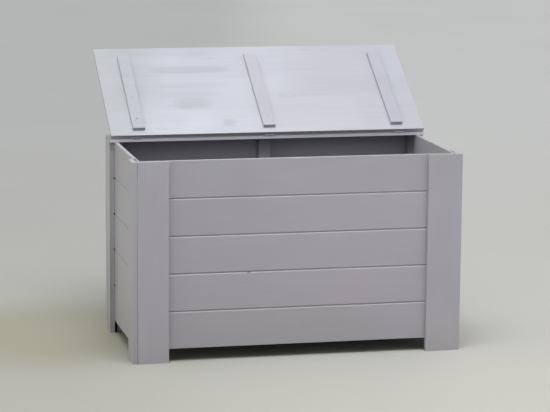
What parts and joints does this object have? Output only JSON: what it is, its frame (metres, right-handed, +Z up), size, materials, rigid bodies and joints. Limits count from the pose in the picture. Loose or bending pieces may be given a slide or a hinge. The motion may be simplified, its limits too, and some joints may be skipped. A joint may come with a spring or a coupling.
{
  "type": "storage chest",
  "caption": "Painted board chest with V-jointed walls, flat corner boards that form the feet, and a battened lid hinged to a fixed rail along the back.",
  "frame": {"origin": "on the floor, under the middle of the whole outline with the lid open", "axes": "+Z up, the front faces -Y, +X runs along the width to the right"},
  "size_m": [1.2, 0.926, 1.0192],
  "materials": {
    "painted_wood": "satin grey paint on planed softwood",
    "zinc_steel": "zinc plated"
  },
  "bodies": {
    "chest": {"back_board_1": "painted_wood", "back_board_2": "painted_wood", "back_board_3": "painted_wood", "back_board_4": "painted_wood", "back_board_5": "painted_wood", "back_left_post": "painted_wood", "back_left_stile": "painted_wood", "back_middle_post": "painted_wood", "back_right_post": "painted_wood", "back_right_stile": "painted_wood", "floor_board_1": "painted_wood", "floor_board_2": "painted_wood", "floor_board_3": "painted_wood", "floor_board_4": "painted_wood", "floor_nails": "zinc_steel", "front_board_1": "painted_wood", "front_board_2": "painted_wood", "front_board_3": "painted_wood", "front_board_4": "painted_wood", "front_board_5": "painted_wood", "front_left_post": "painted_wood", "front_left_stile": "painted_wood", "front_right_post": "painted_wood", "front_right_stile": "painted_wood", "hinge_rail": "painted_wood", "left_back_stile": "painted_wood", "left_bearer": "painted_wood", "left_board_1": "painted_wood", "left_board_2": "painted_wood", "left_board_3": "painted_wood", "left_board_4": "painted_wood", "left_board_5": "painted_wood", "left_front_stile": "painted_wood", "left_hinge_pin": "zinc_steel", "left_rail_leaf": "zinc_steel", "middle_bearer": "painted_wood", "middle_hinge_pin": "zinc_steel", "middle_rail_leaf": "zinc_steel", "rail_leaf_screws": "zinc_steel", "rail_screws": "zinc_steel", "right_back_stile": "painted_wood", "right_bearer": "painted_wood", "right_board_1": "painted_wood", "right_board_2": "painted_wood", "right_board_3": "painted_wood", "right_board_4": "painted_wood", "right_board_5": "painted_wood", "right_front_stile": "painted_wood", "right_hinge_pin": "zinc_steel", "right_rail_leaf": "zinc_steel"},
    "lid": {"batten_screws": "zinc_steel", "left_lid_batten": "painted_wood", "left_lid_leaf": "zinc_steel", "lid_leaf_screws": "zinc_steel", "lid_panel": "painted_wood", "middle_lid_batten": "painted_wood", "middle_lid_leaf": "zinc_steel", "right_lid_batten": "painted_wood", "right_lid_leaf": "zinc_steel"}
  },
  "joints": [
    {"name": "lid_hinge", "type": "hinge", "parent": "chest", "child": "lid", "pos_m": [0, 0.02653, 0.73425], "axis": [1, 0, 0], "range_deg": [0, 148]}
  ]
}
